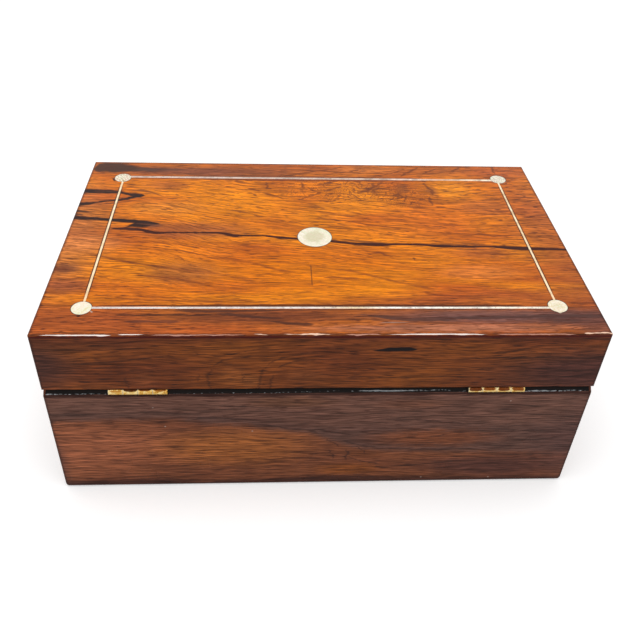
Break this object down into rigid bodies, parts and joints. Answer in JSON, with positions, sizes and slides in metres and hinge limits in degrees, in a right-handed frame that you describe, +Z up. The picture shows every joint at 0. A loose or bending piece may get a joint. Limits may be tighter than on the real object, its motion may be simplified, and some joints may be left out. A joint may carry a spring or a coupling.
{
  "type": "glove box",
  "caption": "Veneered rectangular box with a hinged lid, inlaid discs and stringing, a lined well and a sliding-bolt lock.",
  "frame": {"origin": "centre of the underside, on the surface that the box stands on", "axes": "+X along the box's length, to the right of a person facing the lock; -Y out of the front, the lock side; +Y out of the back, the hinge side; +Z up"},
  "size_m": [0.254, 0.1526, 0.1016],
  "materials": {
    "rosewood_veneer": "French-polished rosewood veneer",
    "ebonised_mahogany": "mahogany board, its bare edges ebonised",
    "velvet_lining": "claret velvet on card",
    "velvet_pad": "claret velvet over wadding",
    "silk_pad": "claret silk over wadding",
    "baize": "green baize",
    "mother_of_pearl": "polished shell",
    "pewter_stringing": "worn white metal, rubbed flush",
    "hinge_brass": "worn lacquered brass",
    "lock_brass": "dull cast brass",
    "brass_screws": "slotted brass screws",
    "hinge_pin_steel": "iron wire",
    "lock_steel": "filed iron"
  },
  "bodies": {
    "base": {"base_back_board": "ebonised_mahogany", "base_back_lining": "velvet_lining", "base_back_veneer": "rosewood_veneer", "base_front_board": "ebonised_mahogany", "base_front_lining": "velvet_lining", "base_front_veneer": "rosewood_veneer", "base_hinge_screws": "brass_screws", "base_left_board": "ebonised_mahogany", "base_left_lining": "velvet_lining", "base_left_veneer": "rosewood_veneer", "base_right_board": "ebonised_mahogany", "base_right_lining": "velvet_lining", "base_right_veneer": "rosewood_veneer", "bottom_board": "ebonised_mahogany", "floor_pad": "velvet_pad", "keyhole_escutcheon": "lock_brass", "left_hinge_base_leaf": "hinge_brass", "left_hinge_pin": "hinge_pin_steel", "lock_cap": "lock_brass", "lock_key_pin": "lock_steel", "lock_plate": "lock_brass", "lock_screws": "brass_screws", "right_hinge_base_leaf": "hinge_brass", "right_hinge_pin": "hinge_pin_steel", "underside_baize": "baize"},
    "lid": {"back_left_disc": "mother_of_pearl", "back_right_disc": "mother_of_pearl", "back_string": "pewter_stringing", "centre_disc": "mother_of_pearl", "front_left_disc": "mother_of_pearl", "front_right_disc": "mother_of_pearl", "front_string": "pewter_stringing", "left_hinge_lid_leaf": "hinge_brass", "left_string": "pewter_stringing", "lid_back_lining": "velvet_lining", "lid_back_rail": "ebonised_mahogany", "lid_back_veneer": "rosewood_veneer", "lid_front_lining": "velvet_lining", "lid_front_rail": "ebonised_mahogany", "lid_front_veneer": "rosewood_veneer", "lid_hinge_screws": "brass_screws", "lid_left_lining": "velvet_lining", "lid_left_rail": "ebonised_mahogany", "lid_left_veneer": "rosewood_veneer", "lid_pad": "silk_pad", "lid_right_lining": "velvet_lining", "lid_right_rail": "ebonised_mahogany", "lid_right_veneer": "rosewood_veneer", "lid_top_board": "ebonised_mahogany", "lid_top_veneer": "rosewood_veneer", "link_plate": "lock_brass", "link_screws": "brass_screws", "right_hinge_lid_leaf": "hinge_brass", "right_string": "pewter_stringing"},
    "bolt": {"lock_bolt": "lock_steel", "bolt_spring": "lock_steel"}
  },
  "joints": [
    {"name": "lid_hinge", "type": "hinge", "parent": "base", "child": "lid", "pos_m": [0, 0.0746, 0.0665], "axis": [-1, 0, 0], "range_deg": [0, 112]},
    {"name": "bolt_slide", "type": "slide", "parent": "base", "child": "bolt", "axis": [1, 0, 0], "range_m": [0, 0.0045]}
  ]
}
